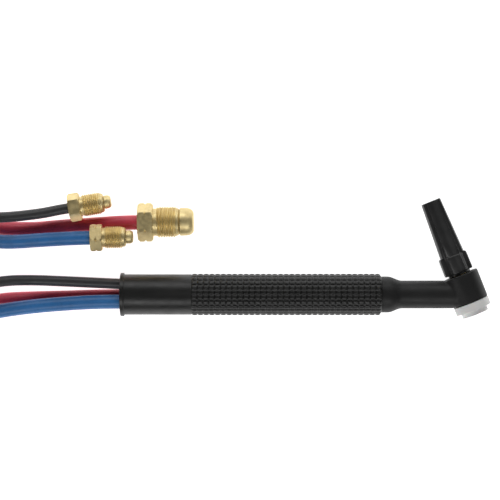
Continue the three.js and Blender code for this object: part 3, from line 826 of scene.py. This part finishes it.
NOSE_PLAIN = 0.45  # the share of the nose's length before it rounds off
NOSE_TIP = 0.62  # the radius of its flat tip, as a share of its own
NOSE_STEPS = 9


def make_nipple(name, fitting):
    nut = fitting["nut"]
    barb = 0.56 * HOSES[name]["radius"]
    passage = 0.6 * barb
    depth = HOSES[name]["nut_depth"]
    start = depth - BARB_LENGTH / MM
    nose_radius, nose_length = nut["nose"]
    front = nut["length"] + 0.3
    end = front + nose_length
    outline = [(start, passage), (start, barb - 0.5)]
    for i in range(3):
        ridge = start + 2.4 * (i + 1)
        outline += [(ridge, barb), (ridge + 0.1, barb - 0.45)]
    outline += [(depth + 0.3, barb - 0.45), (depth + 0.3, nut["stem"]), (front, nut["stem"])]
    round_start = front + NOSE_PLAIN * nose_length
    outline += [(front, nose_radius - 0.25), (front + 0.25, nose_radius), (round_start, nose_radius)]
    for i in range(1, NOSE_STEPS):
        sweep = math.radians(90 * i / NOSE_STEPS)
        along = front + nose_length * (NOSE_PLAIN + (1 - NOSE_PLAIN) * math.sin(sweep))
        outline.append((along, nose_radius * (NOSE_TIP + (1 - NOSE_TIP) * math.cos(sweep))))
    outline += [(end, NOSE_TIP * nose_radius), (end, passage + 0.4)]
    outline = scaled([*outline, (end - 0.5, passage), (start + 1, passage)])
    place = fitting_frame(name)
    piece = turned(f"{name}_nose_piece", outline, place, "torch", "brass", closed=True, sharp=30)
    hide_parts(f"{name}_nipple")
    return piece


# ---------- straps ----------

STRAP_THICKNESS = 1.6
STRAP_WIDTH = 18
STRAPS = ((-35, 90), (-35, -90), (-HANK_RUN, 180))  # place along the hank, and the side that it goes round


def make_strap(number, along, degrees):
    """A strap round one side of the stack of hanks."""
    outer = [hose["hank"][0] + hose["radius"] for hose in HOSES.values()]
    depth = HANK_TURNS - 1
    inner = min(hose["hank"][0] - depth * hose["hank"][1] - hose["radius"] for hose in HOSES.values())
    inner = math.sqrt(inner**2 - STRAP_WIDTH**2 / 4)
    shoulder = HANK_BASE + 4 * (HOSES["power"]["radius"] + HOSES["water"]["radius"]) + GAP / MM
    top = shoulder + GAP / MM + 4 * HOSES["gas"]["radius"]
    corners = [(inner, HANK_BASE), (max(outer), HANK_BASE), (max(outer), shoulder)]
    corners += [(outer[-1], top), (inner, top)]
    centre_line = grown_outline(corners, GAP / MM + STRAP_THICKNESS / 2)
    rings = [strap_section(place, normal) for place, normal in rounded_loop(centre_line, 2.6)]
    points, faces = skin(rings, closed=True)
    middle = Vector((HANK_END.x + along, HANK_END.y, 0)) * MM
    place = Matrix.Translation(middle) @ Matrix.Rotation(math.radians(degrees), 4, "Z")
    strap = new_piece(f"strap_{number}", points, faces, place, "torch", "strap", sharp=50)
    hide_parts(f"coil_strap_{number}")
    return strap


def grown_outline(corners, distance):
    grown = []
    for i, corner in enumerate(corners):
        point = Vector(corner)
        before = point - Vector(corners[i - 1])
        after = Vector(corners[(i + 1) % len(corners)]) - point
        normal_in = Vector((before.y, -before.x)).normalized()
        normal_out = Vector((after.y, -after.x)).normalized()
        middle = (normal_in + normal_out).normalized()
        grown.append(point + middle * (distance / middle.dot(normal_in)))
    return grown


def rounded_loop(corners, radius, steps=6):
    """(place, outward normal) pairs along a closed outline with rounded corners."""
    loop = []
    for i, corner in enumerate(corners):
        before = (corners[i - 1] - corner).normalized()
        after = (corners[(i + 1) % len(corners)] - corner).normalized()
        start = corner + before * radius
        end = corner + after * radius
        for k in range(steps + 1):
            t = k / steps
            place = start.lerp(corner, t).lerp(corner.lerp(end, t), t)
            along = (-before).lerp(after, t).normalized()
            loop.append((place, Vector((along.y, -along.x))))
    return loop


def strap_section(place, normal):
    """A thin rounded rectangle across the strap, in the plane of the strap's normal and width."""
    half = STRAP_WIDTH / 2
    thick = STRAP_THICKNESS / 2
    edge = half - 0.3
    section = [(-half, -thick / 2), (-edge, -thick), (0, -thick), (edge, -thick), (half, -thick / 2)]
    section += [(half, thick / 2), (edge, thick), (0, thick), (-edge, thick), (-half, thick / 2)]
    ring = []
    for across, out in section:
        reach = place + normal * out
        ring.append((reach.x * MM, across * MM, reach.y * MM))
    return ring


straps = [make_strap(number, *strap) for number, strap in enumerate(STRAPS, start=1)]

for name, fitting in FITTINGS.items():
    make_nut(name, fitting)
    make_nipple(name, fitting)


# ---------- back cap ----------

CAP_BOTTOM = HEAD_BACK + 0.3
CAP_FOOT = 8.1
CAP_BORE = 3.6
POCKET_RADIUS = 4.9  # the pocket that the brass insert sits in
POCKET_DEPTH = 8.3
COLLAR_START = HEAD_BACK + 1.8
COLLAR_LENGTH = 13.0
CAP_TIP = COLLAR_START + 54.2
CAP_STEPS = 144
ROOT_RADIUS = 9.1
TIP_RADIUS = 7.4
GROOVE_DEPTH = 1.7
GROOVE_HALF_ANGLE = 11
WING_HEIGHT = 2.1
PANEL_HEIGHT = 1.1


def near_multiple(angle, step, offset=0.0):
    """How far an angle is from the nearest multiple of a step, in degrees."""
    turn = (math.degrees(angle) - offset) % step
    return min(turn, step - turn)


def body_section(base):
    """Four broad, slightly flattened panels with a rounded groove between each pair."""

    def radius(angle):
        from_panel = near_multiple(angle, 90)
        from_groove = near_multiple(angle, 90, 45)
        flattened = 0.35 * (from_panel / 45) ** 2
        groove = GROOVE_DEPTH * max(0.0, 1 - (from_groove / GROOVE_HALF_ANGLE) ** 2) ** 0.8
        return (base - 0.25 + flattened - groove) * MM

    return radius


def collar_section(base):
    """Two raised side wings and two panels, with deep grooves between."""

    def radius(angle):
        from_wing = near_multiple(angle, 180, 90)
        from_panel = near_multiple(angle, 180)
        wing = smooth_step((27 - from_wing) / 5)
        panel = smooth_step((36 - from_panel) / 5)
        return (base - WING_HEIGHT + WING_HEIGHT * wing + PANEL_HEIGHT * panel) * MM

    return radius


def make_cap():
    """A foot in the head, a collar with grip wings, a tapering body with a dimpled tip, and the bore."""
    collar_end = COLLAR_START + COLLAR_LENGTH
    pocket_end = CAP_BOTTOM + POCKET_DEPTH
    foot = [(CAP_BOTTOM, POCKET_RADIUS), (CAP_BOTTOM, 7.7), (CAP_BOTTOM + 0.4, CAP_FOOT)]
    foot.append((COLLAR_START - 0.05, CAP_FOOT))
    collar = [(COLLAR_START, 10.1), (COLLAR_START + 0.3, 10.4), (COLLAR_START + 1, 10.5)]
    collar += [(collar_end - 3, 10.4), (collar_end - 0.8, 10.3)]
    collar += [(collar_end - 0.3, 10.15), (collar_end, 9.8)]
    body = []
    for part in (0.01, 0.25, 0.5, 0.75, 0.96, 0.985):
        along = collar_end + (CAP_TIP - collar_end) * part
        body.append((along, ROOT_RADIUS + (TIP_RADIUS - ROOT_RADIUS) * part))
    body += [(CAP_TIP - 0.1, TIP_RADIUS - 0.15), (CAP_TIP, TIP_RADIUS - 0.5)]
    inside = [(CAP_TIP, 2), (CAP_TIP - 0.25, 1.7), (CAP_TIP - 0.25, 0.01), (CAP_TIP - 3, 0.01)]
    inside += [(CAP_TIP - 4, CAP_BORE), (pocket_end, CAP_BORE), (pocket_end, POCKET_RADIUS)]
    rings = [round_ring(along * MM, radius * MM, CAP_STEPS) for along, radius in foot]
    rings += [round_ring(along * MM, collar_section(base), CAP_STEPS) for along, base in collar]
    rings += [round_ring(along * MM, body_section(base), CAP_STEPS) for along, base in body]
    rings += [round_ring(along * MM, radius * MM, CAP_STEPS) for along, radius in inside]
    points, faces = skin(rings, closed=True)
    cap = new_piece("back_cap_ribbed", points, faces, HEAD, "back_cap", "cap", sharp=40)
    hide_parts("back_cap")


make_cap()


INSERT_REACH = 9
INSERT_LENGTH = 17
INSERT_RADIUS = 4.6
INSERT_RELIEF = 4.1
INSERT_BORE = 3
INSERT_PITCH = 1.27


def make_insert():
    """The cap's brass end, with its male thread below and a plain seat inside the cap."""
    start = CAP_BOTTOM - INSERT_REACH
    end = start + INSERT_LENGTH
    plain = [(start + 7.6, INSERT_RELIEF), (start + INSERT_REACH, INSERT_RELIEF)]
    plain += [(start + INSERT_REACH + 0.1, INSERT_RADIUS), (end, INSERT_RADIUS), (end, INSERT_BORE)]
    rings = [round_ring(start * MM, INSERT_BORE * MM), round_ring(start * MM, 3.9 * MM)]
    rings += threaded_rings(start + 0.3, 7.2, INSERT_RADIUS, INSERT_PITCH)
    rings += [round_ring(along * MM, radius * MM) for along, radius in plain]
    points, faces = skin(rings, closed=True)
    insert = new_piece("cap_thread", points, faces, HEAD, "back_cap", "brass", sharp=28)
    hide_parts("cap_insert")


make_insert()

SEAL_PLACE = HEAD_BACK - 1.2
SEAL_SECTION = 0.65
SEAL_RADIUS = 5.6
SEAL_STEPS = 16
seal_outline = []
for step in range(SEAL_STEPS):
    angle = 2 * math.pi * step / SEAL_STEPS
    along = SEAL_PLACE + SEAL_SECTION * math.sin(angle)
    seal_outline.append((along, SEAL_RADIUS + SEAL_SECTION * math.cos(angle)))
seal = turned("seal_ring", scaled(seal_outline), HEAD, "cap_seal", "seal", closed=True, sharp=60)
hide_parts("cap_o_ring")


CORE_FLANGE = 9.4
CORE_RADIUS = 7.2
SEAL_POCKET = 6.6
SOCKET_CREST = 5.0
SOCKET_DEPTH = 12
SOCKET_PITCH = 1.0


def make_core():
    """The brass core: a flange, a plain barrel in the jacket and a threaded socket for the collet body."""
    flange = HEAD_FRONT + 1.5
    pocket = HEAD_BACK - 2.4
    outside = [(HEAD_FRONT, 5.3), (HEAD_FRONT, CORE_FLANGE), (flange, CORE_FLANGE), (flange, CORE_RADIUS)]
    outside += [(HEAD_BACK, CORE_RADIUS), (HEAD_BACK, SEAL_POCKET), (pocket, SEAL_POCKET), (pocket, 5.1)]
    rings = [round_ring(along * MM, radius * MM) for along, radius in outside]
    socket = threaded_rings(HEAD_FRONT + 0.5, SOCKET_DEPTH, SOCKET_CREST, SOCKET_PITCH, inward=True)
    rings += reversed(socket)
    points, faces = skin(rings, closed=True)
    core = new_piece("core", points, faces, HEAD, "torch", "brass", sharp=28)
    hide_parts("head_core")


make_core()

finish_with(frame["nodes"]["water_jacket"], "brass")
for name in HOSES:
    finish_with(frame["nodes"][f"{name}_tube"], "copper")
    finish_with(frame["nodes"][f"{name}_tail"], "brass")
    finish_with(frame["nodes"][f"{name}_ferrule"], "brass")


# ---------- floor, light and view ----------


def area_light(name, place, towards, size, power):
    light = bpy.data.lights.new(name, "AREA")
    light.shape = "RECTANGLE"
    light.size, light.size_y = size
    light.energy = power
    lamp = bpy.data.objects.new(name, light)
    lamp.location = place
    lamp.rotation_euler = (Vector(towards) - Vector(place)).to_track_quat("-Z", "Y").to_euler()
    bpy.context.collection.objects.link(lamp)


FLOOR_REACH = 6.0
FLOOR_DROP = 0.5 * MM
FLOOR_GLOW = 0.92
floor_mesh = bpy.data.meshes.new("floor")
floor_corners = [(x * FLOOR_REACH, y * FLOOR_REACH, 0) for x, y in ((-1, -1), (1, -1), (1, 1), (-1, 1))]
floor_mesh.from_pydata(floor_corners, [], [(0, 1, 2, 3)])
floor_piece = bpy.data.objects.new("floor", floor_mesh)
floor_piece.location.z = -FLOOR_DROP
bpy.context.collection.objects.link(floor_piece)
floor_look = Look("floor", Roughness=0.9, Specular_IOR_Level=0.1)
floor_look.shader.inputs["Base Color"].default_value = (0.9, 0.9, 0.9, 1)
floor_look.shader.inputs["Emission Color"].default_value = (1, 1, 1, 1)
floor_look.shader.inputs["Emission Strength"].default_value = FLOOR_GLOW
floor_piece.data.materials.append(floor_look.material)

centre = Vector((0, 0, HANDLE_AXIS_Z))
area_light("upper_side", (0, 0.75, 0.45), centre, (1.6, 0.45), 5)
area_light("lower_side", (-0.1, -0.65, 0.65), centre, (1.6, 0.3), 5)
area_light("overhead_right", (0.55, 0.1, 1.0), centre, (0.4, 0.8), 0.5)

world = bpy.data.worlds.new("studio")
world.use_nodes = True
world.node_tree.nodes["Background"].inputs["Color"].default_value = (0.95, 0.97, 1.0, 1)
world.node_tree.nodes["Background"].inputs["Strength"].default_value = 0.04
bpy.context.scene.world = world
bpy.context.scene.view_settings.view_transform = "Standard"
